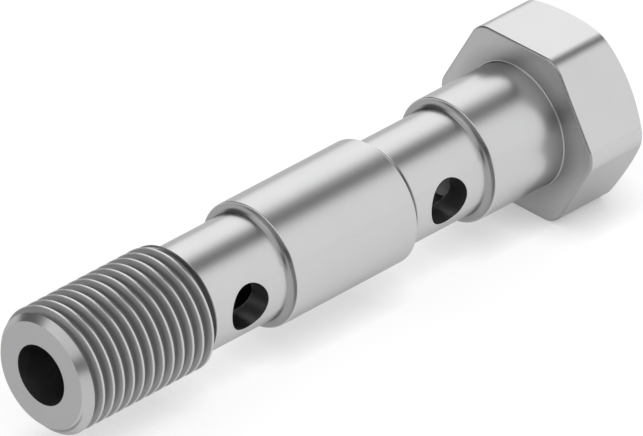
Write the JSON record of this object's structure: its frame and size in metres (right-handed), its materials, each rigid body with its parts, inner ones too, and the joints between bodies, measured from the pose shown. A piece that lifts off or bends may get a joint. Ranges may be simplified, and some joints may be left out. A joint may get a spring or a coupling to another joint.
{
  "type": "banjo bolt",
  "caption": "Hollow hexagon-head bolt with plain lands, cross-drilled necks, a blind axial bore and a fine thread at its tip.",
  "frame": {"origin": "where the bolt's axis meets the bearing face under the head", "axes": "+X along the axis towards the head, so the shank and thread point to -X; a flat of the hexagon faces +Z and its opposite flat faces -Z; the cross holes run along Y"},
  "size_m": [0.0547, 0.0156, 0.014],
  "materials": {
    "plated_steel": "satin, fine turned and plated steel"
  },
  "bodies": {
    "root": {"banjo_bolt": "plated_steel"}
  },
  "joints": []
}
